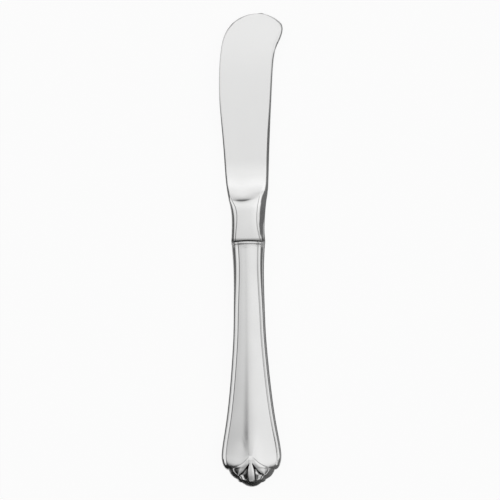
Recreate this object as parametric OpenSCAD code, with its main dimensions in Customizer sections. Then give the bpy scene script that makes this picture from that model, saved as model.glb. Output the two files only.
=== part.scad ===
/* [Handle] */
// Length of the handle, from the joint with the bolster to its end
handle_len = 93.4; // [80:0.1:120]
// Width of the handle where it is widest
handle_w = 22.6; // [18:0.1:28]
// Length of the rounded end, from the widest place on
end_len = 12.4; // [11:0.1:15]
// Width of the handle at its mouth
mouth_w = 12.6; // [11:0.1:15]
// Width of the handle at its waist
waist_w = 11.1; // [9.5:0.1:13]
// Distance from the joint to the waist
waist_at = 17; // [12:0.5:25]
// Thickness of the handle over both faces
handle_t = 8.6; // [7.5:0.1:11]
// Thickness of the handle at its waist
waist_t = 8.1; // [7:0.1:10.5]
// Thickness of the handle where the palmette meets the rolled rim
rim_t = 4.6; // [3:0.1:5.5]
// How far each face falls from its middle to the frame, at the widest place
edge_drop = 2.4; // [1:0.1:2.8]
// Thickness of the stamped sheet
shell_t = 0.8; // [0.6:0.05:1]

/* [Frame round the panel] */
// Inset of the side wall's top at the mouth
wall_lean = 1.35; // [0.7:0.05:1.5]
// Inset of the side wall's top in the wide part
wall_lean_end = 0.5; // [0.3:0.05:0.8]
// Width of the rounded frame
frame_w = 0.85; // [0.5:0.05:1.1]
// Height of the frame over the panel's edge
frame_h = 0.1; // [0.05:0.01:0.2]
// Drop from the frame's crest to the side wall
frame_drop = 0.12; // [0.05:0.01:0.4]
// Width of the groove inside the frame
groove_w = 0.55; // [0.3:0.05:0.7]
// Depth of the groove inside the frame
groove_h = 0.2; // [0.05:0.01:0.3]
// Width of the raised lip at the mouth
lip_w = 0.95; // [0.6:0.05:1.6]
// Height of the raised lip at the mouth
lip_h = 0.22; // [0.1:0.01:0.35]

/* [Palmette] */
// Distance from the handle's end to the point of the palmette
palmette_len = 11.8; // [10:0.1:13]
// Height of the leaves over the panel
leaf_h = 0.36; // [0.15:0.01:0.45]
// Depth of the cuts between the leaves
leaf_cut = 0.3; // [0.15:0.01:0.45]
// Half width of the cuts between the leaves
leaf_gap = 0.22; // [0.1:0.01:0.3]
// Inset of the rolled rim at the middle leaf
rim_in = 2.3; // [1.8:0.05:2.6]

/* [Bolster] */
// Length of the bolster, from the joint to its shoulder
bolster_len = 15.2; // [12:0.1:20]
// Width of the bolster at its waist
bolster_w = 12.1; // [10:0.1:14]
// Width of the bolster at its shoulder
shoulder_w = 14.3; // [12:0.1:15]
// Thickness of the bolster at the joint
bolster_t = 8; // [7:0.1:8.4]
// Thickness of the bolster at its shoulder
shoulder_t = 4.7; // [3.4:0.1:5.5]
// Length over which the shoulder curves down to the blade
shoulder_cove = 0.9; // [0.6:0.1:1.6]
// Length over which the blade rises to the shoulder
shoulder_ramp = 2.5; // [1.8:0.1:4]
// Width of the step round the bolster's face
crease_w = 0.2; // [0.1:0.01:0.3]
// Height of the step round the bolster's face
crease_h = 0.17; // [0.05:0.01:0.2]
// How far the bolster's face falls from its middle to that step
bolster_crown = 0.28; // [0:0.01:0.4]
// Drop of the bevel outside that step
bolster_bevel_h = 0.1; // [0.05:0.01:0.3]
// How far the shoulder line is bowed
shoulder_bow = 1.4; // [0.2:0.1:2]
// How far the joint line is bowed
joint_bow = 0.5; // [0:0.05:0.8]
// Rounding of the bolster's end at the joint
joint_round = 0.45; // [0.15:0.01:0.5]

/* [Blade] */
// Length of the blade, from the shoulder to the tip
blade_len = 71.3; // [55:0.1:90]
// Reach of the belly from the knife's axis
belly_reach = 10.3; // [8:0.1:13]
// Reach of the nose from the knife's axis
nose_reach = 14.3; // [12:0.1:18]
// Thickness of the spine at the heel
spine_t = 2.2; // [1.6:0.1:3]
// Thickness that the spine would have at the tip
tip_t = 1.7; // [1.5:0.1:2]
// Thickness of the blunt cutting edge
edge_t = 0.7; // [0.5:0.05:0.9]
// Rounding of the blade's cutting edge
edge_round = 0.35; // [0.2:0.05:0.45]
// Rounding of the blade's spine
spine_round = 0.65; // [0.3:0.05:0.8]

/* [Inside the handle] */
// Length of the tang
tang_len = 52; // [35:1:58]
// Width of the tang at its root
tang_w = 6.6; // [5:0.1:7.5]
// Thickness of the tang at its root
tang_t = 4; // [3:0.1:4.6]
// How far the cement reaches past the tang
cement_past = 6; // [3:0.5:8]
// Width of the brazed bead along the seam
bead_w = 0.8; // [0.5:0.05:1]
// Height of the brazed bead along the seam
bead_h = 1.2; // [0.8:0.05:1.6]
// Clearance between pieces that lie against each other
fit_gap = 0.06; // [0.03:0.01:0.1]

/* [Hidden] */

// Places along the handle from the mouth to the waist, and how much of the mouth's extra width is left there
mouth_flare_shares = [[0, 1], [0.3, 0.42], [0.6, 0.1], [1, 0]];
// Places along the handle from the waist to the widest place, and how much of the extra width is reached there
flare_shares = [[0, 0], [0.25, 0.055], [0.5, 0.25], [0.75, 0.555], [0.9, 0.83], [0.97, 0.97], [1, 1]];
// Half of the handle's end, from the widest place: shares of the half width, and of the length left
corner_shares = [[1, 0], [1, 0.24], [0.955, 0.465], [0.775, 0.485]];
outer_lobe_shares = [[0.775, 0.485], [0.705, 0.69], [0.485, 0.77]];
small_lobe_shares = [[0.485, 0.77], [0.445, 0.865], [0.33, 0.868]];
middle_lobe_shares = [[0.33, 0.868], [0.185, 1], [0, 1]];
// Powers of the face's crown across and along, and of the round ends of hollow and tang
crown_power = 1.75;
drop_power = 1.15;
hollow_end_power = 0.6;
tang_power = 0.6;
// Rows of the handle: at the lip in shares of its width, then along the sides, and steps on each curve of the end
lip_row_shares = [0, 0.15, 0.45, 0.8, 1, 1.3];
side_rows = 18;
corner_steps = 10;
lobe_steps = 4;
row_spacing_power = 0.85;
side_row_shares = [for (i = [1 : side_rows]) pow(i / side_rows, row_spacing_power)];
// Height of the lip in each of its rows
lip_shape_shares = [-0.9, 0.7, 1, 1, 0.55, 0];
// How far the lip stands out at the sides, as a share of its height there
lip_side_share = 0.3;
// How far along the handle the wall keeps its lean, and where the handle is thickest
lean_end_share = 1.8;
thickest_share = 0.85;
// From where to where on the rounded corner the frame turns into the rim
frame_end_shares = [0.12, 0.85];
// Length over which the joint line's bow fades, as a share of the lip's width
bow_fade_share = 4;
// Where the lines between the leaves lie: shares of the palmette's length, and of the handle's half width
leaf_line_shares = [[0, 0.02], [0.03, 0.085], [0.17, 0.22], [0.3, 0.42], [0.37, 0.58], [0.4, 0.68]];
cut_line_shares = [[0.24, 0.06], [0.34, 0.14], [0.44, 0.215], [0.56, 0.34], [0.62, 0.43], [0.7, 0.5]];
tongue_line_shares = [[0.24, 0.045], [0.34, 0.09], [0.5, 0.13], [0.7, 0.142], [0.95, 0.142]];
// Furthest share of a row's half width that each of the three lines may take
line_limit_shares = [0.93, 0.8, 0.6];
// Least distance of a line from the next one inside it, the room that a gap may take, and the leaf line's half step
line_apart_shares = [1.15, 1.3];
gap_room_share = 0.3;
leaf_step_share = 0.95;
// Columns between the panel's edge and the leaf line, and on the outer leaf
beyond_leaf_shares = [0, 0.25, 0.5, 0.8, 1];
outer_leaf_places_share = [0.35, 0.7];
// Where the palmette's relief begins: the leaves, the cuts, the cuts' end at the rim, and the fall to the rim
leaf_start_shares = [0, 0.1];
cut_start_shares = [0.2, 0.32];
cut_end_shares = [0.6, 0.67];
relief_end_shares = [0.84, 0.94];
// Relief of the outer leaf, small leaf and tongue column by column, and what is left of it near the rim
outer_leaf_shares = [0.85, 1, 0.8];
outer_leaf_left_share = 0.5;
leaf_lip_shares = [0.8, 0.35];
// How deep the panel dips at the leaf line, as a share of the leaves' height
leaf_dip_share = 0.18;
small_leaf_shares = [1, 0.15, 1];
tongue_shares = [0.75, 1, 1];
tongue_cut_share = 0.4;
// Place along the handle from which the columns gather towards the leaves
gather_from_share = 0.75;
// Centre that the rim's rows point at, as a share of the palmette's length from its point
fan_centre_share = -0.14;
// Corner of the hollow, as shares of the wall's lean and of the hollow's height, and inset of its flat part
hollow_corner_shares = [0.35, 0.7];
hollow_face_share = 0.4;
// Columns across half a face: wall, frame and groove, panel, leaf line, outer leaf, cut, small leaf, cut and tongue
half_columns = 22;
columns = 2 * half_columns;
panel_edge = 6;
leaf_edge = 10;
cut_mid = 15;
tongue_cut = 19;
// Rise over run of the side walls' upper part, and how far in it starts
wall_rise_share = 0.84;
wall_mid_in_share = 0.06;
// Frame: shares of its width and height, column by column
frame_shape_shares = [[0.45, 1], [1, -0.6]];
// Place of the groove's floor between the frame and the panel
groove_floor_share = 0.45;
// Columns of the rolled rim as shares of its inset, and its rise over run with the power of its rounding
rim_place_shares = [0, 0.05, 0.2, 0.38, 0.58, 0.78, 1];
rim_rise_share = 0.76;
rim_power = 1.2;
// Inset of the rim from the first lobe to the middle of the end, as a share of the inset there
rim_in_shares = [[0, 0.7], [0.35, 0.64], [0.64, 0.55], [0.73, 0.73], [0.82, 0.89], [0.91, 0.975], [1, 1]];
// Places between the palmette's point and the rolled rim, and how much of the fall to the rim is done there
fall_shares = [[0, 0.14], [0.46, 0.37], [0.78, 0.67], [1, 1]];
// Belly and spine of the blade from the heel on: shares of the reach, and of the blade's length
belly_shares = [
    [0.746, 0.045], [0.808, 0.12], [0.852, 0.246], [0.912, 0.373], [0.985, 0.514], [1, 0.61], [0.974, 0.725],
    [0.912, 0.803], [0.846, 0.855], [0.724, 0.901], [0.553, 0.936], [0.35, 0.963], [0.07, 0.984], [-0.248, 0.996]
];
spine_shares = [
    [0.545, 0.045], [0.564, 0.12], [0.59, 0.246], [0.621, 0.373], [0.664, 0.514], [0.697, 0.627], [0.731, 0.725],
    [0.789, 0.801], [0.897, 0.848], [0.975, 0.886], [1, 0.917], [0.966, 0.942], [0.854, 0.963], [0.685, 0.982]
];
// Place of the tip across the blade, as a share of the nose's reach
tip_share = 0.453;
// Rows of the bolster, in shares of its length
bolster_row_shares = [0, 0.028, 0.06, 0.14, 0.25, 0.36, 0.48, 0.6, 0.71, 0.8, 0.86, 0.9, 0.94, 0.97, 0.987];
// Rows of the blade, counted along its outline's points
heel_rows = [0, 0.08, 0.2, 0.4, 0.7];
blade_step = 0.5;
// Extra inset of the creases and of the wall tops round the bolster: shares of its length, and of the half width
spine_crease_shares = [
    [0, 0.04], [0.28, 0.2], [0.47, 0.28], [0.66, 0.31], [0.85, 0.3], [1.07, 0.24], [1.33, 0.12], [1.7, 0.02], [2.2, 0]
];
belly_crease_shares = [[0, 0.15], [0.25, 0.17], [0.45, 0.215], [0.66, 0.23], [0.85, 0.19], [1.01, 0.08], [1.25, 0]];
spine_wall_shares = [
    [0, 0.01], [0.25, 0.115], [0.5, 0.16], [0.76, 0.175], [0.9, 0.15], [1.03, 0.11], [1.2, 0.06], [1.4, 0.01],
    [1.7, 0], [4.2, 0], [4.8, -0.02]
];
belly_wall_shares = [[0, 0.1], [0.5, 0.12], [0.9, 0.07], [1.05, 0.01], [1.3, 0]];
// Half width of the bolster along its length: share of the length, and how much of the waist is reached
bolster_side_shares = [[0, 0], [0.22, 0.7], [0.42, 1], [0.68, 0.8], [1, 0]];
// How much wider the bolster is at its spine side: share of its length, and of the shoulder's half width
spine_side_shares = [[0, 0], [0.27, 0.007], [0.52, 0.05], [0.76, 0.067], [1, 0.066]];
// Thickness of the bolster along its length: share of the length, and how much of the joint's thickness is reached
bolster_thick_shares = [[0, 1], [0.3, 0.77], [0.6, 0.46], [0.85, 0.17], [1, 0]];
// How far before the shoulder the faces start to rise, in shares of the bolster's length
rise_from_share = 1.6;
// How much of the shoulder lies under its line, at the belly and at the spine, and the sharp cove's part of it
cove_share = 0.78;
spine_cove_share = 0.95;
cove_part_share = 0.33;
// How much longer the rise is where the shoulder is soft
soft_ramp_share = 2;
// Share of the face, from the spine, over which the shoulder grows softer
soft_share = 0.68;
// How soft it is again at the belly, and the share of the face over which it grows so
belly_soft_share = 0.7;
belly_soft_from_share = 0.34;
// How short the shoulder's upper rounding is next to its cove
shoulder_round_share = 0.27;
// Place across the bolster where the shoulder line is lowest, and the bow's reach along the bolster's length
bow_centre_share = -0.36;
shoulder_bow_share = 0.33;
// Height of the wall tops on the blade, and least height of the walls' middle column
blade_wall_share = 0.8;
wall_mid_share = 0.25;
// Width of the soft edge inside the rounding, as a share of the blade's width
soft_edge_share = 0.02;
// Most of a row's width that a rounding may take near the tip
thin_end_share = 0.1;
// Columns over one face of the blade's section, from the spine's middle to the edge's middle, and its panel's edge
blade_columns = 16;
face_column = 4;
// Place of the spine line that the blade's thickness is measured on, as a share of the nose's reach
spine_line_share = 0.6;
// Rows of the tang: shares of its length, and of its section
tang_end_share = 0.985;
tang_row_shares = [[1, 0.42], [tang_end_share, 0.52], [0.5, 0.8], [0.06, 1], [0, 1.12]];
// Room for the bead under the hollow's corner, and where its hollow side curves in: shares of its width and height
bead_room_share = 0.8;
bead_mid_shares = [0.3, 0.35];
// Rows of the cement along its length
cement_row_shares = [0, 0.03, 0.1, 0.2, 0.35, 0.55, 0.78, 1];

tip_y = bolster_len + blade_len;
axis_x = (handle_w / 2 - nose_reach) / 2;
axis_y = (handle_len - tip_y) / 2;
axis_z = handle_t / 2;
fan_y = palmette_len * fan_centre_share;
widest_at = handle_len - end_len;
palmette_y = handle_len - palmette_len;

function mix(a, b, t) = a + (b - a) * t;
function limit(t) = min(1, max(0, t));
function ease(t) = limit(t) * limit(t) * (3 - 2 * limit(t));
function step_up(range, t) = ease((t - range[0]) / (range[1] - range[0]));

// Smooth curve through rows of [place, value], without overshoot
function rise(t, i) = (t[i + 1][1] - t[i][1]) / (t[i + 1][0] - t[i][0]);
function slope(t, i) =
    i == 0 ? rise(t, 0)
    : i == len(t) - 1 ? rise(t, i - 1)
    : rise(t, i - 1) * rise(t, i) <= 0 ? 0
    : 2 * rise(t, i - 1) * rise(t, i) / (rise(t, i - 1) + rise(t, i));
function place_in(t, x, i = 0) = i >= len(t) - 2 || x <= t[i + 1][0] ? i : place_in(t, x, i + 1);
function hermite(a, b, ma, mb, u) =
    a * (1 + 2 * u) * (1 - u) * (1 - u) + b * u * u * (3 - 2 * u)
    + ma * u * (1 - u) * (1 - u) - mb * u * u * (1 - u);
function curve(t, x) =
    let (i = place_in(t, x), h = t[i + 1][0] - t[i][0], u = limit((x - t[i][0]) / h))
    hermite(t[i][1], t[i + 1][1], slope(t, i) * h, slope(t, i + 1) * h, u);

// Smooth rail through points, at place s counted along them
function rail_slope(p, i) = i == 0 ? p[1] - p[0] : i == len(p) - 1 ? p[i] - p[i - 1] : (p[i + 1] - p[i - 1]) / 2;
function rail(p, s) =
    let (i = min(floor(s), len(p) - 2))
    hermite(p[i], p[i + 1], rail_slope(p, i), rail_slope(p, i + 1), s - i);

// Curve with two ends and one or two pull points
function bend(p, t) =
    len(p) == 3 ? p[0] * (1 - t) * (1 - t) + p[1] * 2 * t * (1 - t) + p[2] * t * t
    : p[0] * pow(1 - t, 3) + p[1] * 3 * t * (1 - t) * (1 - t) + p[2] * 3 * t * t * (1 - t) + p[3] * pow(t, 3);

// A four-cornered face as triangles, leaving out those with no area
function quad(a, b, c, d) = [for (t = [[a, b, c], [a, c, d]]) if (t[0] != t[1] && t[1] != t[2] && t[0] != t[2]) t];

// Handle, seen from the joint: y runs from the mouth to the handle's end
function side_half(y) =
    y < waist_at
    ? mix(waist_w, mouth_w, curve(mouth_flare_shares, y / waist_at)) / 2
    : mix(waist_w, handle_w, curve(flare_shares, (y - waist_at) / (widest_at - waist_at))) / 2;
function end_points(shares, n) =
    [for (i = [1 : n]) let (p = bend(shares, i / n)) [p[0] * handle_w / 2, widest_at + p[1] * end_len]];
lip_end = lip_w * lip_row_shares[len(lip_row_shares) - 1];
side_outline = concat(
    [for (s = lip_row_shares) [side_half(s * lip_w), s * lip_w]],
    [for (s = side_row_shares) let (y = mix(lip_end, widest_at, s)) [side_half(y), y]]
);
outline = concat(
    side_outline,
    end_points(corner_shares, corner_steps),
    end_points(outer_lobe_shares, lobe_steps),
    end_points(small_lobe_shares, lobe_steps - 1),
    end_points(middle_lobe_shares, lobe_steps)
);
last_row = len(outline) - 1;
last_side = len(side_outline) - 1;
last_corner = last_side + corner_steps;
function corner_share(i) = limit((i - last_side) / corner_steps);
function rim_share(i) = step_up(frame_end_shares, (i - last_side) / corner_steps);
function to_fan(p) = let (v = [p[0], p[1] - palmette_y - fan_y]) v / norm(v);
function outward(i) = let (v = mix([1, 0], to_fan(outline[i]), ease(corner_share(i)))) v / norm(v);
function lip(i) = i < len(lip_shape_shares) ? lip_shape_shares[i] * lip_h : 0;
// Height of a face's middle over the seam
fall_len = handle_len - rim_in - palmette_y;
ridge_table = concat(
    [
        [0, handle_t / 2 - lip_h],
        [waist_at, waist_t / 2],
        [mix(waist_at, widest_at, thickest_share), handle_t / 2]
    ],
    [for (f = fall_shares) [palmette_y + f[0] * fall_len, mix(handle_t, rim_t, f[1]) / 2]]
);
function lean(y) = mix(wall_lean, wall_lean_end, ease(y / (lean_end_share * waist_at)));
function rim(i) = rim_in * curve(rim_in_shares, limit((i - last_corner) / (last_row - last_corner)));
function frame_in(i) = mix(lean(outline[i][1]) + frame_w + groove_w, rim(i), rim_share(i));
function row_half(i) = outline[i][0] - frame_in(i) * outward(i)[0];
function row_y(i) = outline[i][1] - frame_in(i) * outward(i)[1];
function ridge(y) = curve(ridge_table, y);
function row_drop(i) = edge_drop * pow(limit(row_half(i) / (handle_w / 2)), drop_power);
function edge_z(i) = ridge(row_y(i)) - row_drop(i);

// Wall, frame and groove: inset and height of columns 0 to 6 in row i
function side_profile(i) =
    let (a = lean(outline[i][1]), z = edge_z(i), w = z + frame_h - frame_drop)
    concat(
        [[0, 0], [a * wall_mid_in_share, w - a * (1 - wall_mid_in_share) * wall_rise_share], [a, w]],
        [for (s = frame_shape_shares) [a + s[0] * frame_w, z + s[1] * frame_h]],
        [[a + frame_w + groove_floor_share * groove_w, z - groove_h], [a + frame_w + groove_w, z]]
    );
function rim_profile(i) = [
    for (s = rim_place_shares) [rim(i) * s, s == 0 ? 0 : edge_z(i) - rim(i) * rim_rise_share * pow(1 - s, rim_power)]
];
function frame_profile(i) = mix(side_profile(i), rim_profile(i), rim_share(i));

// Lines between the leaves, at height y and limited to the row's half width
function line_x(shares, y, half, limit_share) =
    min(curve(shares, (y - palmette_y) / palmette_len) * handle_w / 2, half * limit_share);
function even(j) = (half_columns - j) / (half_columns - panel_edge);
function leaf_columns(y, half) =
    let (
        c = line_x(tongue_line_shares, y, half, line_limit_shares[2]),
        b = max(line_x(cut_line_shares, y, half, line_limit_shares[1]), c * line_apart_shares[1]),
        a = max(line_x(leaf_line_shares, y, half, line_limit_shares[0]), b * line_apart_shares[0]),
        g = gap_room_share * min(leaf_gap / gap_room_share, c, b - c, a - b),
        a_out = a + g * leaf_step_share,
        a_in = a - g * leaf_step_share
    )
    concat(
        [for (s = beyond_leaf_shares) mix(half, a_out, s)],
        [a_in],
        [for (s = outer_leaf_places_share) mix(a_in, b + g, s)],
        [b + g, b, b - g, (b + c) / 2, c + g, c, c - g, (c - g) / 2, 0]
    );
// How far the columns have left their even spacing above the palmette
function gathered(y) = step_up([mix(waist_at, palmette_y, gather_from_share), palmette_y], y);
function column_x(i, j) =
    let (half = row_half(i), y = row_y(i))
    mix(even(j) * half, leaf_columns(y, half)[j - panel_edge], gathered(y));

// Relief of the palmette in column j of row i: leaf line to cut, cut, small leaf, cut, tongue
function relief(i, j) =
    let (
        y = row_y(i),
        t = (y - palmette_y) / palmette_len,
        cut = step_up(cut_start_shares, t),
        past = step_up(cut_end_shares, t),
        left = 1 - step_up(relief_end_shares, t),
        top = leaf_h * step_up(leaf_start_shares, t),
        outer_top = top * mix(outer_leaf_left_share, 1, left)
    )
    j < leaf_edge || y < palmette_y ? 0
    : j == leaf_edge ? -leaf_dip_share * top * left
    : j <= cut_mid - 2 ? outer_top * outer_leaf_shares[j - leaf_edge - 1]
    : j == cut_mid - 1 ? outer_top * mix(leaf_lip_shares[0], leaf_lip_shares[1], cut)
    : j == cut_mid ? mix(top, -leaf_cut, cut * (1 - past)) * left
    : j == tongue_cut ? mix(top, -leaf_cut * tongue_cut_share, cut) * left
    : j < tongue_cut ? top * left * mix(1, small_leaf_shares[j - cut_mid - 1], cut)
    : top * left * mix(1, tongue_shares[j - tongue_cut - 1], cut);

function face_z(i, x) =
    ridge(row_y(i)) - row_drop(i) * (row_half(i) > 0 ? pow(limit(x / row_half(i)), crown_power) : 0);

// Bow of the joint line, fading along the piece
function bowed(x, half, y) = -joint_bow * x * x / (half * half) * ease(1 - y / (bow_fade_share * lip_w));

// Point j of row i on the front face, for the side with positive x
function shell_point(i, j) =
    let (
        p = frame_profile(i)[min(j, panel_edge)],
        x = j <= panel_edge ? outline[i][0] - p[0] * outward(i)[0] : column_x(i, j),
        y = outline[i][1] - p[0] * outward(i)[1],
        z = j <= panel_edge ? p[1] : face_z(i, x) + relief(i, j),
        lift = lip(i) * limit(z / edge_z(i))
    )
    [x + lip(i) * lip_side_share * (1 - limit(j / panel_edge)), y - bowed(x, mouth_w / 2, y), z + lift];

// Inside of the shell at a place y along the side, in column k, for a clearance or none
function face_half(y) = side_half(y) - lean(y) - frame_w - groove_w;
function face_drop(y) = edge_drop * pow(limit(face_half(y) / (handle_w / 2)), drop_power);
function hollow_section(y, k, gap = 0) =
    let (
        s = (half_columns / 2 - k) / (half_columns / 2 - 2),
        floor_z = ridge(y) - shell_t - gap,
        corner = (floor_z - face_drop(y) - frame_drop) * hollow_corner_shares[1]
    )
    k == 0 ? [side_half(y) - shell_t - gap, 0]
    : k == 1 ? [side_half(y) - lean(y) * hollow_corner_shares[0] - shell_t - gap, corner]
    : [(face_half(y) - shell_t * hollow_face_share - gap) * s, floor_z - face_drop(y) * pow(limit(s), crown_power)];

// Inside of the shell: column k stands for column 2k outside, and row i for row i outside
function hollow_angle(i) = 90 * limit((i - last_side) / (last_row - last_side));
function hollow_point(i, k) =
    let (
        p = hollow_section(outline[min(i, last_side)][1], k),
        c = cos(hollow_angle(i)),
        y = outline[min(i, last_side)][1] + (end_len - rim_in - 3 * shell_t) * sin(hollow_angle(i))
    )
    [p[0] * c, y - bowed(p[0] * c, mouth_w / 2, y), p[1] * pow(c, hollow_end_power)];

// Both sides of a row from its half, mirrored in x
function across(half_row) =
    let (n = len(half_row) - 1)
    concat(half_row, [for (j = [n - 1 : -1 : 0]) [-half_row[j][0], half_row[j][1], half_row[j][2]]]);

// Half shell with its face up and its seam in the plane z = 0
module half_shell() {
    n = last_row;
    m = columns;
    inner_m = m / 2;
    inner_n = n / 2;
    outer_rows = [for (i = [0 : n - 1]) each across([for (j = [0 : half_columns]) shell_point(i, j)])];
    outer_end = [for (j = [0 : panel_edge]) let (p = shell_point(n, j)) [0, p[1], p[2]]];
    inner_rows = [for (i = [0 : inner_n - 1]) each across([for (k = [0 : half_columns / 2]) hollow_point(2 * i, k)])];
    inner_end = [hollow_point(n, 0)];
    outer_count = n * (m + 1);
    inner_start = outer_count + len(outer_end);
    inner_pole = inner_start + inner_n * (inner_m + 1);
    function outer(i, j) = i < n ? i * (m + 1) + j : outer_count + min(j, m - j, panel_edge);
    function inner(i, k) = i < inner_n ? inner_start + i * (inner_m + 1) + k : inner_pole;
    outer_faces = [
        for (i = [0 : n - 1]) for (j = [0 : m - 1])
            each quad(outer(i, j), outer(i, j + 1), outer(i + 1, j + 1), outer(i + 1, j))
    ];
    inner_faces = [
        for (i = [0 : inner_n - 1]) for (k = [0 : inner_m - 1])
            each quad(inner(i, k), inner(i + 1, k), inner(i + 1, k + 1), inner(i, k + 1))
    ];
    mouth_faces = [
        for (k = [0 : inner_m - 1]) each [
            [inner(0, k), outer(0, 2 * k + 1), outer(0, 2 * k)],
            [inner(0, k), inner(0, k + 1), outer(0, 2 * k + 1)],
            [inner(0, k + 1), outer(0, 2 * k + 2), outer(0, 2 * k + 1)]
        ]
    ];
    seam_faces = [
        for (i = [0 : inner_n - 1]) each concat(
            quad(inner(i, 0), outer(2 * i, 0), outer(2 * i + 1, 0), inner(i + 1, 0)),
            quad(inner(i + 1, 0), outer(2 * i + 1, 0), outer(2 * i + 2, 0), inner(i + 1, 0)),
            quad(inner(i, inner_m), inner(i + 1, inner_m), outer(2 * i + 1, m), outer(2 * i, m)),
            quad(inner(i + 1, inner_m), outer(2 * i + 2, m), outer(2 * i + 1, m), inner(i + 1, inner_m))
        )
    ];
    mirror([0, 1, 0])
        polyhedron(
            concat(outer_rows, outer_end, inner_rows, inner_end),
            concat(outer_faces, inner_faces, mouth_faces, seam_faces)
        );
}

// Blade and bolster, seen from the joint: y runs from the joint to the tip
function bolster_half(y) =
    let (s = y / bolster_len)
    mix(mix(mouth_w, shoulder_w, ease(s * 2 - 1)), bolster_w, curve(bolster_side_shares, s)) / 2;
function spine_half(y) = bolster_half(y) + curve(spine_side_shares, y / bolster_len) * shoulder_w / 2;
belly_rail = concat(
    [[bolster_half(bolster_len), bolster_len]],
    [for (s = belly_shares) [s[0] * belly_reach, bolster_len + s[1] * blade_len]],
    [[-tip_share * nose_reach, tip_y]]
);
spine_rail = concat(
    [[spine_half(bolster_len), bolster_len]],
    [for (s = spine_shares) [s[0] * nose_reach, bolster_len + s[1] * blade_len]],
    [[tip_share * nose_reach, tip_y]]
);
rail_end = len(belly_rail) - 1;
// Rows as their spine point and their belly point
blade_rows = concat(
    [for (s = bolster_row_shares) let (y = s * bolster_len) [[spine_half(y), y], [-bolster_half(y), y]]],
    [
        for (s = [each heel_rows, each [1 : blade_step : rail_end - blade_step]])
            let (b = rail(belly_rail, s)) [rail(spine_rail, s), [-b[0], b[1]]]
    ]
);

// Place of a column across the face, from the spine's step to the belly's
function face_share(c) = limit((c - face_column) / (blade_columns - 2 * face_column));

// Half thickness of the flat blade, of the bolster, and how far each column has risen from one to the other
thickness_rise = (spine_t - edge_t) / 2 / (belly_reach + nose_reach * spine_line_share);
function flat_half(x, y) =
    edge_t / 2 + (x + belly_reach) * thickness_rise - (spine_t - tip_t) / 2 * limit((y - bolster_len) / blade_len);
function bolster_z(y) = mix(shoulder_t, bolster_t, curve(bolster_thick_shares, limit(y / bolster_len))) / 2;
function face_rise(y, c) =
    let (
        d = bolster_len - y,
        q = face_share(c),
        soft = max(ease(1 - q / soft_share), belly_soft_share * ease((q - 1) / belly_soft_from_share + 1)),
        under = mix(cove_share, spine_cove_share, soft),
        ramp = shoulder_ramp * mix(1, soft_ramp_share, soft)
    )
    d >= 0 ? 1 - (1 - under) * exp(-d / (shoulder_round_share * shoulder_ramp))
    : under * mix(exp(d / ramp), exp(d / shoulder_cove), cove_part_share * (1 - soft))
        * ease((rise_from_share * bolster_len - y) / ((rise_from_share - 1) * bolster_len));

// Place of each column across a row, as a share of the row from the spine to the belly
function blade_inset(shares, round_w, y, w) =
    min(round_w, thin_end_share * w) + curve(shares, y / bolster_len) * w / 2;
function across_share(row, c) =
    let (
        w = norm(row[0] - row[1]),
        y = (row[0][1] + row[1][1]) / 2,
        soft = soft_edge_share * w,
        spine_wall = blade_inset(spine_wall_shares, spine_round, y, w) / w,
        spine_crease = (blade_inset(spine_crease_shares, spine_round, y, w) + soft) / w,
        belly_wall = blade_inset(belly_wall_shares, edge_round, y, w) / w,
        belly_crease = (blade_inset(belly_crease_shares, edge_round, y, w) + soft) / w,
        step = crease_w / w,
        q = face_share(c)
    )
    c <= 2 ? spine_wall * [0, wall_mid_in_share, 1][c]
    : c == 3 ? spine_crease
    : c == blade_columns - 3 ? 1 - belly_crease
    : c >= blade_columns - 2 ? 1 - belly_wall * [0, wall_mid_in_share, 1][blade_columns - c]
    : mix(spine_crease + step, 1 - belly_crease - step, q);

function blade_point(row, c, end_round = 0) =
    let (
        p = mix(row[0], row[1], across_share(row, c)),
        y = p[1],
        r = face_rise(y, c),
        flat_z = flat_half(p[0], y),
        top_z = bolster_z(y) - end_round,
        face_z = mix(flat_z, top_z - bolster_crown * pow(2 * face_share(c) - 1, 2), r),
        wall_z = mix(flat_z * blade_wall_share, top_z - bolster_crown - crease_h - bolster_bevel_h, r),
        edge_columns = min(c, blade_columns - c),
        wall_in = norm(row[0] - row[1]) * abs(across_share(row, c <= 1 ? 2 : blade_columns - 2) - (c <= 1 ? 0 : 1)),
        z = edge_columns == 0 ? 0
            : edge_columns == 1
            ? max(wall_z * wall_mid_share, wall_z - wall_in * (1 - wall_mid_in_share) * wall_rise_share)
            : edge_columns == 2 ? wall_z
            : edge_columns == 3 ? face_z - crease_h * r : face_z,
        bow = ease(1 - abs(y - bolster_len) / (bolster_len * shoulder_bow_share)) * shoulder_bow,
        x = p[0] / (shoulder_w / 2) - bow_centre_share
    )
    [p[0], y + bow * x * x + bowed(p[0], mouth_w / 2, y), z];

function tang_point(y, scale_share, a, gap = 0) =
    let (c = cos(a), s = sin(a), x = (tang_w / 2 * scale_share + gap) * sign(c) * pow(abs(c), tang_power))
    [x, y, (tang_t / 2 * scale_share + gap) * sign(s) * pow(abs(s), tang_power)];

// A closed ring from the points over one face, mirrored in z, and the faces between rings
function ring_of(half_ring) =
    let (n = len(half_ring) - 1)
    concat(half_ring, [for (c = [n - 1 : -1 : 1]) [half_ring[c][0], half_ring[c][1], -half_ring[c][2]]]);
function tube_faces(rows, n, start = 0) = [
    for (i = [0 : rows - 2]) for (c = [0 : n - 1])
        let (a = start + i * n + c, b = start + i * n + (c + 1) % n)
        each quad(a, b, b + n, a + n)
];
function cone_faces(start, n, pole) = [for (c = [0 : n - 1]) [start + c, start + (c + 1) % n, pole]];
function turned(faces) = [for (f = faces) [f[0], f[2], f[1]]];

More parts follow.
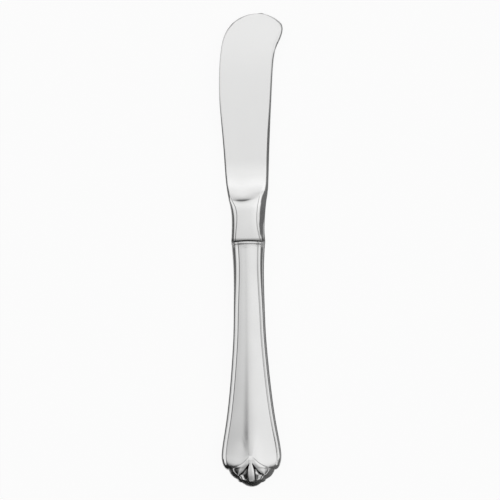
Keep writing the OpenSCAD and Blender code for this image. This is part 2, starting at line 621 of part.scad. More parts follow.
module blade_body() {
    n = 2 * blade_columns;
    rings = concat(
        [for (t = tang_row_shares) [for (c = [0 : n - 1])
            let (p = tang_point(-t[0] * tang_len, t[1], c * 360 / n))
            [p[0], p[1] + (t[0] == 0 ? fit_gap + bowed(p[0], mouth_w / 2, 0) : 0), p[2]]]],
        [for (i = [0 : len(blade_rows) - 1])
            let (end_round = i == 0 ? joint_round : 0, shift = [0, i == 0 ? fit_gap : 0, 0])
            [for (p = ring_of([for (c = [0 : blade_columns]) blade_point(blade_rows[i], c, end_round)])) p + shift]]
    );
    points = [for (r = rings) each r];
    last = len(points);
    polyhedron(
        concat(points, [[tip_share * nose_reach, tip_y, 0], [0, -tang_len, 0]]),
        concat(
            tube_faces(len(rings), n),
            cone_faces(last - n, n, last),
            turned(cone_faces(0, n, last + 1))
        )
    );
}

// Bead of brazing metal that lies against the inside of the seam, from one side of the mouth round to the other
bead_rows = [for (i = [0 : 2 : last_row - 2]) i];
function bead_section(i) =
    let (
        p = hollow_point(i, 0),
        q = hollow_point(i, 1),
        z = min(bead_h / 2, q[2] * bead_room_share),
        lean_in = (p[0] - q[0]) * z / q[2] + fit_gap
    )
    [p, z, lean_in];
function bead_way(k) =
    let (n = len(bead_rows), s = bead_section(bead_rows[k < n ? k : 2 * n - 1 - k]))
    [[(k < n ? 1 : -1) * s[0][0], s[0][1]], s[1], s[2]];
module bead() {
    n = 2 * len(bead_rows);
    rings = [
        for (k = [0 : n - 1])
            let (
                way = bead_way(k),
                t = bead_way(min(k + 1, n - 1))[0] - bead_way(max(k - 1, 0))[0],
                inward = [-t[1], t[0]] / norm(t),
                z = way[1],
                near = way[0] + inward * way[2],
                far = near + inward * bead_w * z / (bead_h / 2),
                mid = mix(near, far, bead_mid_shares[0])
            )
            [
                [near[0], near[1], z], [mid[0], mid[1], bead_mid_shares[1] * z], [far[0], far[1], 0],
                [mid[0], mid[1], -bead_mid_shares[1] * z], [near[0], near[1], -z]
            ]
    ];
    ring = 5;
    points = [for (r = rings) each r];
    mirror([0, 1, 0])
        polyhedron(points, concat(
            turned(tube_faces(n, ring)),
            [[0, 1, 2], [0, 2, 3], [0, 3, 4]],
            [for (f = [[0, 2, 1], [0, 3, 2], [0, 4, 3]]) f + [1, 1, 1] * (n - 1) * ring]
        ));
}

// Cement that fills the hollow round the tang and past its end, clear of the brazed bead
cement_len = tang_len + cement_past;
function cement_point(y, k) =
    let (p = hollow_section(y, k, fit_gap), x = p[0] - (k == 0 ? bead_w + 2 * fit_gap : 0))
    [x, y - bowed(x, mouth_w / 2, y), p[1]];
tang_places = [0, 0.06, 0.5, 1];
tang_sizes = [for (t = [4 : -1 : 0]) tang_row_shares[t]];
module cement() {
    n = 2 * half_columns;
    outer_rings = [
        for (s = cement_row_shares)
            each ring_of(across([for (k = [0 : half_columns / 2]) cement_point(s * cement_len, k)]))
    ];
    inner_rings = [
        for (s = tang_places) for (c = [0 : n - 1])
            let (p = tang_point(s * tang_len, curve(tang_sizes, min(s, tang_end_share)), c * 360 / n, fit_gap))
            [p[0], p[1] - bowed(p[0], mouth_w / 2, p[1]), p[2]]
    ];
    outer_count = len(outer_rings);
    inner_count = len(inner_rings);
    ends = [[0, cement_len, 0], [0, tang_len + 2 * fit_gap, 0]];
    total = outer_count + inner_count;
    mirror([0, 1, 0])
        polyhedron(concat(outer_rings, inner_rings, ends), concat(
            tube_faces(len(cement_row_shares), n),
            cone_faces(outer_count - n, n, total),
            turned(tube_faces(len(tang_places), n, outer_count)),
            turned(cone_faces(total - n, n, total + 1)),
            [for (c = [0 : n - 1]) each quad(
                outer_count + c, outer_count + (c + 1) % n, (c + 1) % n, c)]
        ));
}

// The knife's own axis, placed so that it lies on its back with the origin under its middle
module placed() {
    translate([axis_x, axis_y, axis_z]) children();
}

module blade() {
    color("gainsboro") placed() blade_body();
}

module handle_front() {
    color("gainsboro") placed() half_shell();
}

module handle_back() {
    color("gainsboro") placed() mirror([0, 0, 1]) half_shell();
}

module seam_braze() {
    color("darkkhaki") placed() bead();
}

module tang_cement() {
    color("dimgray") placed() cement();
}

blade();
handle_front();
handle_back();
seam_braze();
tang_cement();
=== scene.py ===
import math

import bpy
import numpy
from mathutils import Matrix, Vector


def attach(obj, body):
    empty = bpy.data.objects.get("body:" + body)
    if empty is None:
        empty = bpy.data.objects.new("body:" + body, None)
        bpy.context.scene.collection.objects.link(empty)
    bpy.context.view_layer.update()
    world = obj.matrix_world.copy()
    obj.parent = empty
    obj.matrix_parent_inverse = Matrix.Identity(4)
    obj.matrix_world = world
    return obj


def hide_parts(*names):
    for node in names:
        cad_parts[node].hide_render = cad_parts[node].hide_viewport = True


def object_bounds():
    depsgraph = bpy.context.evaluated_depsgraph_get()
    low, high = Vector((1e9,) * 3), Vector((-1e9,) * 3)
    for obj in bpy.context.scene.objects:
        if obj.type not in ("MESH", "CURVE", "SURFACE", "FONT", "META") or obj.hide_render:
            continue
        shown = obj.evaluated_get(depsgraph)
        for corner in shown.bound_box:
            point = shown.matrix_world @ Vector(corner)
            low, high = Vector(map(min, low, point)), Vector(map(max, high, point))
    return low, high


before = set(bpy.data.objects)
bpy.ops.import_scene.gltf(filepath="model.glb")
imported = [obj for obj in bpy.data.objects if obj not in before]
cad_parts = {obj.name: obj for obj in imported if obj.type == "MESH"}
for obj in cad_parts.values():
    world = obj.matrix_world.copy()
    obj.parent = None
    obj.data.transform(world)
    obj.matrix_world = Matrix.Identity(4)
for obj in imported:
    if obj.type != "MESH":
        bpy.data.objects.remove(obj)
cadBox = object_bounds()


def deselectAll():
    if bpy.context.mode != "OBJECT":
        bpy.ops.object.mode_set(mode="OBJECT")
    bpy.ops.object.select_all(action="DESELECT")


def selectOnly(piece):
    deselectAll()
    piece.select_set(True)
    bpy.context.view_layer.objects.active = piece


# Shader node helpers

def addNode(tree, kind, place, **settings):
    node = tree.nodes.new(kind)
    node.location = place
    for name, value in settings.items():
        setattr(node, name, value)
    return node


def setInputs(node, **values):
    for name, value in values.items():
        node.inputs[name.replace("_", " ")].default_value = value


def newMaterial(name, color):
    material = bpy.data.materials.new(name)
    material.use_nodes = True
    material.diffuse_color = (*color, 1)
    tree = material.node_tree
    tree.nodes.clear()
    output = addNode(tree, "ShaderNodeOutputMaterial", (900, 0))
    shader = addNode(tree, "ShaderNodeBsdfPrincipled", (600, 0))
    tree.links.new(shader.outputs["BSDF"], output.inputs["Surface"])
    return material, tree, shader


def newGroup(name, inputs, outputs):
    group = bpy.data.node_groups.new(name, "ShaderNodeTree")
    for label, kind, value in inputs:
        socket = group.interface.new_socket(label, in_out="INPUT", socket_type=kind)
        if value is not None:
            socket.default_value = value
    for label, kind in outputs:
        group.interface.new_socket(label, in_out="OUTPUT", socket_type=kind)
    start = addNode(group, "NodeGroupInput", (-900, 0))
    end = addNode(group, "NodeGroupOutput", (900, 0))
    return group, start, end


def placeGroup(tree, group, place, **values):
    node = addNode(tree, "ShaderNodeGroup", place, node_tree=group)
    setInputs(node, **values)
    return node


def mapRange(tree, source, place, fromMin, fromMax, toMin, toMax, kind="SMOOTHSTEP"):
    node = addNode(tree, "ShaderNodeMapRange", place, interpolation_type=kind)
    for label, value in zip(("From Min", "From Max", "To Min", "To Max"), (fromMin, fromMax, toMin, toMax)):
        if isinstance(value, (int, float)):
            node.inputs[label].default_value = value
        else:
            tree.links.new(value, node.inputs[label])
    tree.links.new(source, node.inputs["Value"])
    return node.outputs["Result"]


def combine(tree, operation, first, second, place):
    node = addNode(tree, "ShaderNodeMath", place, operation=operation)
    for socket, value in zip(node.inputs, (first, second)):
        if isinstance(value, (int, float)):
            socket.default_value = value
        else:
            tree.links.new(value, socket)
    return node.outputs["Value"]


def blend(tree, share, first, second, place):
    node = addNode(tree, "ShaderNodeMix", place, data_type="FLOAT")
    sockets = [socket for socket in node.inputs if socket.type == "VALUE"]
    for socket, value in zip(sockets, (share, first, second)):
        tree.links.new(value, socket)
    return node.outputs["Result"]


# A smooth curve through stops of (value, result)
def curve(tree, source, place, stops):
    share = mapRange(tree, source, place, stops[0][0], stops[-1][0], 0, 1, "LINEAR")
    ramp = addNode(tree, "ShaderNodeValToRGB", (place[0] + 200, place[1]))
    points = ramp.color_ramp
    points.interpolation = "CARDINAL"
    top = max(result for value, result in stops)
    for value, result in stops[1:-1]:
        points.elements.new((value - stops[0][0]) / (stops[-1][0] - stops[0][0]))
    for point, (value, result) in zip(points.elements, stops):
        point.color = (result / top, result / top, result / top, 1)
    tree.links.new(share, ramp.inputs["Fac"])
    return combine(tree, "MULTIPLY", ramp.outputs["Color"], top, (place[0] + 500, place[1]))


def stretchedNoise(group, start, place, scaleName, stretch, detail):
    mapping = addNode(group, "ShaderNodeMapping", place, vector_type="POINT")
    mapping.inputs["Scale"].default_value = stretch
    noise = addNode(group, "ShaderNodeTexNoise", (place[0] + 200, place[1]))
    noise.inputs["Detail"].default_value = detail
    group.links.new(start.outputs["Place"], mapping.inputs["Vector"])
    group.links.new(mapping.outputs["Vector"], noise.inputs["Vector"])
    group.links.new(start.outputs[scaleName], noise.inputs["Scale"])
    return noise.outputs["Fac"]


# Fine lines of the satin finish, which run along the knife, and a few deeper hairlines among them
satin = {
    "lines": {"stretch": (1, 0.035, 1), "detail": 2},
    "hairlines": {"stretch": (1, 0.02, 1), "detail": 1},
    "hairlineRange": (0.68, 0.76),      # noise at which a hairline starts, and at which it is deepest
}


def makeSatinLines():
    group, start, end = newGroup(
        "satinLines",
        [("Place", "NodeSocketVector", None), ("Lines per metre", "NodeSocketFloat", 7000.0),
         ("Hairlines per metre", "NodeSocketFloat", 1500.0), ("Hairlines", "NodeSocketFloat", 0.5)],
        [("Height", "NodeSocketFloat")])
    lines = stretchedNoise(group, start, (-600, 200), "Lines per metre", **satin["lines"])
    hair = stretchedNoise(group, start, (-600, -200), "Hairlines per metre", **satin["hairlines"])
    thin = mapRange(group, hair, (-100, -200), *satin["hairlineRange"], 0, 1)
    thin = combine(group, "MULTIPLY", thin, start.outputs["Hairlines"], (150, -200))
    group.links.new(combine(group, "SUBTRACT", lines, thin, (400, 100)), end.inputs["Height"])
    return group


# Cloudy change of gloss from wiping and handling, and small dull spots
wear = {
    "clouds": {"stretch": (1, 0.6, 1), "detail": 4},
    "cloudRange": (0.35, 0.65),
    "spots": {"stretch": (1, 1, 1), "detail": 2},
    "spotRange": (0.62, 0.75),
}


def makeHandling():
    group, start, end = newGroup(
        "handling",
        [("Place", "NodeSocketVector", None), ("Clouds per metre", "NodeSocketFloat", 55.0),
         ("Spots per metre", "NodeSocketFloat", 900.0)],
        [("Cloud", "NodeSocketFloat"), ("Spot", "NodeSocketFloat")])
    cloud = stretchedNoise(group, start, (-600, 200), "Clouds per metre", **wear["clouds"])
    spot = stretchedNoise(group, start, (-600, -200), "Spots per metre", **wear["spots"])
    group.links.new(mapRange(group, cloud, (0, 200), *wear["cloudRange"], -1, 1), end.inputs["Cloud"])
    group.links.new(mapRange(group, spot, (0, -200), *wear["spotRange"], 0, 1), end.inputs["Spot"])
    return group


satinLines = makeSatinLines()
handling = makeHandling()

bladeSteel = {
    "color": (0.76, 0.76, 0.757),
    "creaseShade": (0.09, 0.09, 0.088),      # painted shade in the creases and recesses
    "recessReach": 0.0005,
    "recessRays": 12,
    "recessRange": (0.22, 0.6),         # share of a point's surroundings that is hidden, from no painted shade to full painted shade
    "roughness": 0.16,
    "cloudRoughness": 0.02,
    "spotRoughness": 0.05,
    "cloudTone": 0.02,
    "edgeTint": 0.15,
    "lines": 7000.0,
    "hairlines": 0.35,
    "lineHeight": 0.0000012,
    # Painted light and shade along the knife, multiplied into the steel colour: the bolster is painted
    # darker, the blade is painted brightest at its root
    "paintedLightAlongKnife": ((0.0034, 0.83), (0.0057, 0.845), (0.0095, 0.91), (0.0133, 0.94), (0.0152, 0.965),
               (0.0167, 1.05), (0.0175, 1.08), (0.0205, 1.07), (0.0228, 1.06), (0.0251, 1.13),
               (0.0281, 1.1), (0.0304, 1.07), (0.0345, 0.98), (0.065, 0.98), (0.08, 1.02), (0.09, 1.02)),
    # Painted shade at the joint between bolster and handle: where it starts to fade, where the steel is
    # unshaded, and how bright the painted shade is
    "paintedJointShade": (0.0038, 0.0048, 0.42),
    # The buffing wheel doesn't reach close to the lip: where the duller finish starts, where it is whole
    "lipRange": (0.0005, 0.0018),
    "lipDullness": 0,
}
handleSteel = dict(bladeSteel, roughness=0.13, cloudTone=0.03, lines=6000.0, hairlines=0.5,
                   lineHeight=0.0000014, paintedLightAlongKnife=None, paintedJointShade=None, lipDullness=0.25)


def makeSteel(name, look):
    material, tree, shader = newMaterial(name, look["color"])
    tint = look["edgeTint"]
    shader.inputs["Metallic"].default_value = 1
    shader.inputs["Specular Tint"].default_value = (tint, tint, tint, 1)
    place = addNode(tree, "ShaderNodeTexCoord", (-1200, 0)).outputs["Object"]
    grain = placeGroup(tree, satinLines, (-900, -300),
                       Lines_per_metre=look["lines"], Hairlines=look["hairlines"])
    wiped = placeGroup(tree, handling, (-900, 300))
    tree.links.new(place, grain.inputs["Place"])
    tree.links.new(place, wiped.inputs["Place"])
    cloud = wiped.outputs["Cloud"]
    # Painted shade: creases and recesses are darkened by how much of their surroundings is hidden
    near = addNode(tree, "ShaderNodeAmbientOcclusion", (-900, 700), only_local=True)
    near.samples = look["recessRays"]
    near.inputs["Distance"].default_value = look["recessReach"]
    hidden = combine(tree, "SUBTRACT", 1, near.outputs["AO"], (-700, 700))
    paintedCreaseShade = mapRange(tree, hidden, (-500, 700), *look["recessRange"], 0, 1)
    toneAndPaintedLight = combine(tree, "MULTIPLY_ADD", cloud, look["cloudTone"], (-500, 400))
    toneAndPaintedLight.node.inputs[2].default_value = 1
    split = addNode(tree, "ShaderNodeSeparateXYZ", (-1000, 1000))
    tree.links.new(place, split.inputs["Vector"])
    along = split.outputs["Y"]
    if look["paintedLightAlongKnife"]:
        # Painted light and shade along the knife
        toneAndPaintedLight = combine(tree, "MULTIPLY", toneAndPaintedLight, curve(tree, along, (-800, 1000), look["paintedLightAlongKnife"]), (-400, 700))
        # Painted shade at the joint, where the gap between bolster and handle is
        start, stop, dark = look["paintedJointShade"]
        joint = mapRange(tree, along, (-800, 1300), start, stop, dark, 1)
        toneAndPaintedLight = combine(tree, "MULTIPLY", toneAndPaintedLight, joint, (-300, 700))
    shaded = addNode(tree, "ShaderNodeVectorMath", (-300, 400), operation="SCALE")
    shaded.inputs[0].default_value = look["color"]
    tree.links.new(toneAndPaintedLight, shaded.inputs["Scale"])
    mix = addNode(tree, "ShaderNodeMix", (0, 400), data_type="RGBA")
    colorInputs = [socket for socket in mix.inputs if socket.type == "RGBA"]
    colorInputs[1].default_value = (*look["creaseShade"], 1)
    tree.links.new(paintedCreaseShade, mix.inputs["Factor"])
    tree.links.new(shaded.outputs["Vector"], colorInputs[0])
    colorResult = [socket for socket in mix.outputs if socket.type == "RGBA"][0]
    tree.links.new(colorResult, shader.inputs["Base Color"])
    # Gloss: clouds, spots and the lip
    gloss = combine(tree, "MULTIPLY_ADD", cloud, look["cloudRoughness"], (-300, 0))
    gloss.node.inputs[2].default_value = look["roughness"]
    worn = combine(tree, "MULTIPLY_ADD", wiped.outputs["Spot"], look["spotRoughness"], (-100, 0))
    tree.links.new(gloss, worn.node.inputs[2])
    lip = mapRange(tree, along, (-800, -700), *look["lipRange"], 0, look["lipDullness"])
    tree.links.new(combine(tree, "ADD", worn, lip, (100, 0)), shader.inputs["Roughness"])
    # Satin lines and hairlines
    bump = addNode(tree, "ShaderNodeBump", (300, -300))
    bump.inputs["Distance"].default_value = look["lineHeight"]
    tree.links.new(grain.outputs["Height"], bump.inputs["Height"])
    tree.links.new(bump.outputs["Normal"], shader.inputs["Normal"])
    return material


brazeLook = {
    "color": (0.6, 0.47, 0.26),
    "roughness": (0.42, 0.67),
    "pits": 2600.0,
    "pitDetail": 4,
    "pitRange": (0.3, 0.7),
    "pitHeight": 0.00003,
}


def makeBraze():
    material, tree, shader = newMaterial("brazingBrass", brazeLook["color"])
    shader.inputs["Metallic"].default_value = 1
    shader.inputs["Base Color"].default_value = (*brazeLook["color"], 1)
    place = addNode(tree, "ShaderNodeTexCoord", (-800, 0)).outputs["Object"]
    pits = addNode(tree, "ShaderNodeTexNoise", (-500, 0))
    pits.inputs["Scale"].default_value = brazeLook["pits"]
    pits.inputs["Detail"].default_value = brazeLook["pitDetail"]
    tree.links.new(place, pits.inputs["Vector"])
    dull = mapRange(tree, pits.outputs["Fac"], (-200, 100), *brazeLook["pitRange"], *brazeLook["roughness"])
    tree.links.new(dull, shader.inputs["Roughness"])
    bump = addNode(tree, "ShaderNodeBump", (0, -300))
    bump.inputs["Distance"].default_value = brazeLook["pitHeight"]
    tree.links.new(pits.outputs["Fac"], bump.inputs["Height"])
    tree.links.new(bump.outputs["Normal"], shader.inputs["Normal"])
    return material


cementLook = {
    "color": (0.2, 0.195, 0.185),
    "pale": (0.34, 0.33, 0.31),
    "roughness": (0.8, 0.95),
    "grains": 3800.0,
    "grainHeight": 0.00012,
    "dust": 3800.0 / 6,                 # a patch is six grains wide
    "dustDetail": 6,
    "dustRange": (0.3, 0.7),
}


def makeCement():
    material, tree, shader = newMaterial("castCement", cementLook["color"])
    place = addNode(tree, "ShaderNodeTexCoord", (-800, 0)).outputs["Object"]
    grains = addNode(tree, "ShaderNodeTexVoronoi", (-500, 200))
    grains.inputs["Scale"].default_value = cementLook["grains"]
    dust = addNode(tree, "ShaderNodeTexNoise", (-500, -200))
    dust.inputs["Scale"].default_value = cementLook["dust"]
    dust.inputs["Detail"].default_value = cementLook["dustDetail"]
    ramp = addNode(tree, "ShaderNodeValToRGB", (-200, 0))
    ramp.color_ramp.elements[0].color = (*cementLook["color"], 1)
    ramp.color_ramp.elements[1].color = (*cementLook["pale"], 1)
    tree.links.new(place, grains.inputs["Vector"])
    tree.links.new(place, dust.inputs["Vector"])
    tree.links.new(dust.outputs["Fac"], ramp.inputs["Fac"])
    tree.links.new(ramp.outputs["Color"], shader.inputs["Base Color"])
    dull = mapRange(tree, dust.outputs["Fac"], (0, -100), *cementLook["dustRange"], *cementLook["roughness"])
    tree.links.new(dull, shader.inputs["Roughness"])
    bump = addNode(tree, "ShaderNodeBump", (0, -400))
    bump.inputs["Distance"].default_value = cementLook["grainHeight"]
    tree.links.new(grains.outputs["Distance"], bump.inputs["Height"])
    tree.links.new(bump.outputs["Normal"], shader.inputs["Normal"])
    return material


# Each visible piece is a smooth copy of its solid

smoothing = {
    "merge": 0.000002,
    "flatWithin": 30,                   # degrees between two triangles that join into one face
    "squareWithin": 70,                 # degrees that the joined face's corners may be off square
    "creases": ((17, 0.85), (34, 0.15)),    # degrees from which an edge is held, and how much more
    "levels": 2,
    "angle": 35,
}


def smoothCopy(nodeName, pieceName, material):
    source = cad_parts[nodeName]
    piece = bpy.data.objects.new(pieceName, source.data.copy())
    bpy.context.scene.collection.objects.link(piece)
    selectOnly(piece)
    bpy.ops.object.mode_set(mode="EDIT")
    bpy.ops.mesh.select_mode(type="EDGE")
    bpy.ops.mesh.select_all(action="SELECT")
    bpy.ops.mesh.remove_doubles(threshold=smoothing["merge"])
    bpy.ops.mesh.tris_convert_to_quads(face_threshold=math.radians(smoothing["flatWithin"]),
                                       shape_threshold=math.radians(smoothing["squareWithin"]))
    for angle, crease in smoothing["creases"]:
        bpy.ops.mesh.select_all(action="DESELECT")
        bpy.ops.mesh.edges_select_sharp(sharpness=math.radians(angle))
        bpy.ops.transform.edge_crease(value=crease)
    bpy.ops.object.mode_set(mode="OBJECT")
    rounding = piece.modifiers.new("rounding", "SUBSURF")
    rounding.levels = smoothing["levels"]
    rounding.render_levels = smoothing["levels"]
    bpy.ops.object.modifier_apply(modifier=rounding.name)
    bpy.ops.object.shade_smooth_by_angle(angle=math.radians(smoothing["angle"]))
    piece.data.materials.clear()
    piece.data.materials.append(material)
    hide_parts(nodeName)
    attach(piece, "root")
    print("piece", pieceName, len(piece.data.polygons), "faces")
    return piece


# The blade's long edges and the bolster's corner on the spine's side are polished over: a soft bevel takes
# the top of their walls down, on both faces alike

edgeBevel = {
    "middle": 0.0043,                   # height of the plane between the two faces
    "onOutline": 0.00001,               # a point this near to it is on the outline
    "start": 0.0042,                    # from here to the tip
    "soft": 0.0001,                     # how softly the face turns into the bevel
    "least": 0.1,                       # share of a point's height that is always left
    # Rise of the bevel over its run, and height that it starts from at the outline, from the joint to the tip
    "belly": {
        "slope": 0.65,
        "wall": ((0.0165, 0.005), (0.0175, 0.0027), (0.019, 0.00145), (0.0205, 0.0007), (0.0228, 0.00025),
                 (0.0266, 0.00004), (0.034, 0), (0.045, 0), (0.057, 0.00003), (0.068, 0.0004)),
    },
    "spine": {
        "slope": 0.9,
        "wall": ((0.0042, 0.0032), (0.0052, 0.00235), (0.006, 0.002), (0.008, 0.00163), (0.01, 0.00116),
                 (0.012, 0.00088), (0.014, 0.00053), (0.016, 0.00032), (0.0175, 0.00021), (0.019, 0.00007),
                 (0.0205, 0.00003), (0.0228, 0.00003), (0.0266, 0.00006), (0.0304, 0.0001), (0.045, 0.00013),
                 (0.057, 0.00026), (0.065, 0.0003), (0.075, 0.0012)),
    },
}


def valueAt(stops, y):
    places, values = zip(*stops)
    return numpy.interp(y, places, values)


# The lower of two heights, with a soft turn where they are close
def softLower(first, second, soft):
    near = max(soft - abs(first - second), 0)
    return min(first, second) - near * near / (4 * soft)


def bevelEdges(piece):
    middle = edgeBevel["middle"]
    onBlade = [vertex.co for vertex in piece.data.vertices if vertex.co.y > edgeBevel["start"]]
    outline = [place.copy() for place in onBlade if abs(place.z - middle) < edgeBevel["onOutline"]]
    for side, sign in (("belly", -1), ("spine", 1)):
        bevel = edgeBevel[side]
        line = sorted((place.y, place.x) for place in outline if place.x * sign > 0)
        for place in onBlade:
            height = abs(place.z - middle)
            if place.x * sign < 0 or height < edgeBevel["onOutline"]:
                continue
            inside = abs(valueAt(line, place.y) - place.x)
            limit = valueAt(bevel["wall"], place.y) + bevel["slope"] * inside
            lowered = max(softLower(height, limit, edgeBevel["soft"]), edgeBevel["least"] * height)
            place.z = middle + math.copysign(lowered, place.z - middle)


satinBlade = makeSteel("satinBlade", bladeSteel)
satinHandle = makeSteel("satinHandle", handleSteel)
blade = smoothCopy("blade", "bladeAndBolster", satinBlade)
bevelEdges(blade)
smoothCopy("handle_front", "frontShell", satinHandle)
smoothCopy("handle_back", "backShell", satinHandle)

# The brazing metal and the cement inside keep their solids and get their own materials
for nodeName, material in (("seam_braze", makeBraze()), ("tang_cement", makeCement())):
    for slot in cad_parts[nodeName].material_slots:
        slot.material = material
print("materials ready")


# Floor and studio light: a broad soft dome that ends above the horizon

studio = {
    "floorSize": 12,
    "floorColor": (0.98, 0.98, 0.98),
    "paperWhite": 1,
    "seenWhite": 0.92,                  # share of plain white in the paper that the camera sees
    "mirroredWhite": 0.2,               # the same for the paper that the steel shows
    "horizon": 0.018,
    # More light low down on the spine's side, on the belly's side and past the tip: where it starts, where
    # it is whole, and how much
    "lowSpine": (0, 0.8, 0.134),
    "lowBelly": (-0.75, -0.98, 0.116),
    "lowTip": (0, 0.8, 0.134),
    "domeEdge": (0.40, 0.66),           # upward share of the direction, from dark to bright
    # Brightness of the dome from the belly's side to the spine's side: over the blade, over the handle and
    # past its end
    "overBlade": ((-1, 0.64), (-0.62, 0.76), (-0.5, 0.875), (-0.4, 0.92), (-0.25, 0.955), (0, 0.96),
                  (0.2, 0.99), (0.4, 1.01), (1, 0.97)),
    "overHandle": ((-1, 0.64), (-0.62, 0.7), (-0.4, 0.71), (-0.25, 0.74), (-0.13, 0.79), (0.04, 0.87),
                   (0.17, 0.945), (0.25, 0.96), (1, 0.95)),
    "pastEnd": ((-1, 0.7), (-0.62, 0.83), (-0.45, 0.87), (-0.31, 0.78), (-0.14, 0.76), (0.04, 0.88),
                (0.14, 1.01), (0.22, 1.08), (0.35, 1.03), (1, 1)),
    # Directions between which one of the three turns into the next
    "handleRange": (0, -0.05),
    "endRange": (-0.1, -0.15),
    # Brightness from the end's side to the tip's side, as a share of the above
    "alongKnife": ((-0.7, 0.45), (-0.6, 0.55), (-0.5, 0.78), (-0.38, 1), (0, 1), (0.04, 1.05),
                   (0.07, 1.1), (0.1, 1.13), (0.17, 1.12), (0.23, 1.06), (0.3, 1.04), (0.4, 1.02),
                   (0.5, 0.95), (0.6, 0.84), (0.72, 0.7), (0.9, 0.5), (1, 0.5)),
    # More light towards the spine and the tip, and less again beyond
    "spineGlow": {"x": (0.03, 0.18), "beyond": (0.2, 0.4), "y": (0.08, 0.15), "light": 1.1, "last": 0.85},
    # Dark streak that the handle's wide part shows, and how deep it is along the knife
    "streak": {"x": -0.28, "width": 0.16,
               "depth": ((-0.2, 0), (-0.15, 0.06), (-0.13, 0.68), (-0.11, 0.85), (-0.075, 0.6), (-0.055, 0.5),
                         (-0.035, 0.22), (-0.02, 0.02), (0, 0))},
    # The dome ends higher at the two corners past the handle's end
    "corners": {"y": (-0.22, -0.42), "x": (0.25, 0.5), "rise": 0.3},
    # It ends lower on the spine's side: where that starts, where it is whole, and how much
    "spineSide": (0.3, 0.8, 0.13),
}


def makeFloor():
    deselectAll()
    bpy.ops.mesh.primitive_plane_add(size=studio["floorSize"], location=(0, 0, cadBox[0].z))
    floor = bpy.context.active_object
    floor.name = "floor"
    material, tree, shader = newMaterial("floorPaper", studio["floorColor"])
    shader.inputs["Base Color"].default_value = (*studio["floorColor"], 1)
    shader.inputs["Roughness"].default_value = 1
    shader.inputs["Specular IOR Level"].default_value = 0
    # Seen by the camera or in the steel, the paper is white and its shadow is faint
    path = addNode(tree, "ShaderNodeLightPath", (-600, 500))
    seen = combine(tree, "MULTIPLY", path.outputs["Is Camera Ray"], studio["seenWhite"], (-400, 600))
    mirrored = combine(tree, "MULTIPLY", path.outputs["Is Glossy Ray"], studio["mirroredWhite"], (-400, 400))
    white = addNode(tree, "ShaderNodeEmission", (0, 300))
    white.inputs["Strength"].default_value = studio["paperWhite"]
    mix = addNode(tree, "ShaderNodeMixShader", (300, 300))
    output = next(node for node in tree.nodes if node.type == "OUTPUT_MATERIAL")
    tree.links.new(combine(tree, "MAXIMUM", seen, mirrored, (-200, 500)), mix.inputs[0])
    tree.links.new(shader.outputs["BSDF"], mix.inputs[1])
    tree.links.new(white.outputs["Emission"], mix.inputs[2])
    tree.links.new(mix.outputs["Shader"], output.inputs["Surface"])
    floor.data.materials.append(material)


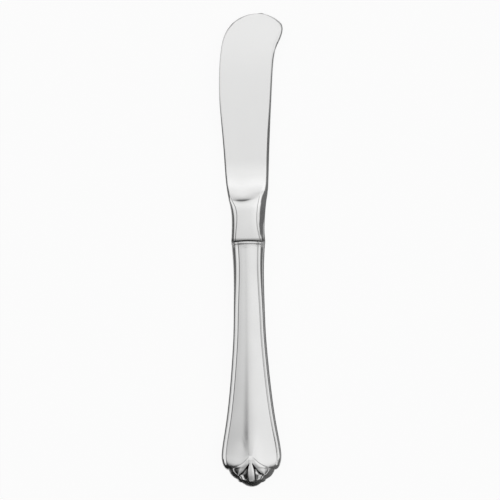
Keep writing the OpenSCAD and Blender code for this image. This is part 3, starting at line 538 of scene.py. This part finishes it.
def makeWorld():
    world = bpy.data.worlds.new("studio")
    bpy.context.scene.world = world
    world.use_nodes = True
    tree = world.node_tree
    tree.nodes.clear()
    output = addNode(tree, "ShaderNodeOutputWorld", (2600, 0))
    background = addNode(tree, "ShaderNodeBackground", (2400, 0))
    background.inputs["Color"].default_value = (1, 1, 1, 1)
    place = addNode(tree, "ShaderNodeTexCoord", (0, 0))
    split = addNode(tree, "ShaderNodeSeparateXYZ", (200, 0))
    tree.links.new(place.outputs["Generated"], split.inputs["Vector"])
    x, y, z = (split.outputs[name] for name in "XYZ")
    # Light near the horizon
    start, stop, more = studio["lowSpine"]
    low = mapRange(tree, x, (200, 900), start, stop, studio["horizon"], studio["horizon"] + more)
    start, stop, more = studio["lowBelly"]
    low = combine(tree, "ADD", low, mapRange(tree, x, (200, 1200), start, stop, 0, more), (400, 1000))
    start, stop, more = studio["lowTip"]
    low = combine(tree, "ADD", low, mapRange(tree, y, (200, 1500), start, stop, 0, more), (600, 1000))
    # Light of the dome
    overBlade, overHandle, pastEnd = (
        curve(tree, x, (400, row), studio[name])
        for name, row in (("overBlade", 600), ("overHandle", 300), ("pastEnd", 0)))
    overTheHandle = mapRange(tree, y, (900, 800), *studio["handleRange"], 0, 1)
    glow = blend(tree, overTheHandle, overBlade, overHandle, (1100, 500))
    pastTheEnd = mapRange(tree, y, (1100, 800), *studio["endRange"], 0, 1)
    glow = blend(tree, pastTheEnd, glow, pastEnd, (1300, 400))
    glow = combine(tree, "MULTIPLY", glow, curve(tree, y, (400, -300), studio["alongKnife"]), (1500, 300))
    spine = studio["spineGlow"]
    inside = combine(tree, "MULTIPLY", mapRange(tree, x, (400, -600), *spine["x"], 0, 1),
                     mapRange(tree, y, (400, -900), *spine["y"], 0, 1), (700, -700))
    most = mapRange(tree, x, (600, -600), *spine["beyond"], spine["light"], spine["last"])
    beside = mapRange(tree, inside, (900, -700), 0, 1, 1, most, "LINEAR")
    glow = combine(tree, "MULTIPLY", glow, beside, (1700, 200))
    streak = studio["streak"]
    away = combine(tree, "ABSOLUTE", combine(tree, "SUBTRACT", x, streak["x"], (400, -1200)), 0, (550, -1200))
    across = mapRange(tree, away, (700, -1200), 0, streak["width"], 1, 0)
    shade = combine(tree, "MULTIPLY", across, curve(tree, y, (400, -1500), streak["depth"]), (1100, -1300))
    glow = combine(tree, "MULTIPLY", glow, combine(tree, "SUBTRACT", 1, shade, (1300, -1300)), (1900, 100))
    # Height at which the dome ends
    corners = studio["corners"]
    aside = combine(tree, "ABSOLUTE", x, 0, (400, -1800))
    aside = mapRange(tree, aside, (600, -1800), *corners["x"], 0, corners["rise"])
    behind = mapRange(tree, y, (600, -2000), *corners["y"], 0, 1)
    rise = combine(tree, "MULTIPLY", aside, behind, (900, -1900))
    height = combine(tree, "SUBTRACT", z, rise, (1100, -1900))
    start, stop, drop = studio["spineSide"]
    lower = mapRange(tree, x, (1100, -2100), start, stop, 0, drop)
    height = combine(tree, "ADD", height, lower, (1300, -1900))
    strength = mapRange(tree, height, (2100, 0), *studio["domeEdge"], low, glow)
    tree.links.new(strength, background.inputs["Strength"])
    tree.links.new(background.outputs["Background"], output.inputs["Surface"])


# The picture is taken from above the knife, a little from the spine's side, with a long lens
shot = {
    "target": (-0.0009, 0.00003, 0.0043),
    "distance": 1.0,
    "frameWidth": 0.19,
    "tilt": 5,
    "roll": -0.86,
    "sensorWidth": 36,
    "nearest": 0.01,
    "farthest": 20,
}


def makeCamera():
    camera = bpy.data.cameras.new("camera")
    cameraObject = bpy.data.objects.new("camera", camera)
    bpy.context.scene.collection.objects.link(cameraObject)
    roll = Matrix.Rotation(math.radians(shot["roll"]), 3, "Z")
    tilt = Matrix.Rotation(math.radians(shot["tilt"]), 3, "Y")
    turn = roll @ tilt
    cameraObject.location = Vector(shot["target"]) + turn @ Vector((0, 0, shot["distance"]))
    cameraObject.rotation_euler = turn.to_euler()
    camera.sensor_width = shot["sensorWidth"]
    camera.lens = camera.sensor_width * shot["distance"] / shot["frameWidth"]
    camera.clip_start = shot["nearest"]
    camera.clip_end = shot["farthest"]
    bpy.context.scene.camera = cameraObject


makeFloor()
makeWorld()
makeCamera()
bpy.context.scene.view_settings.view_transform = "Standard"
print("studio ready")
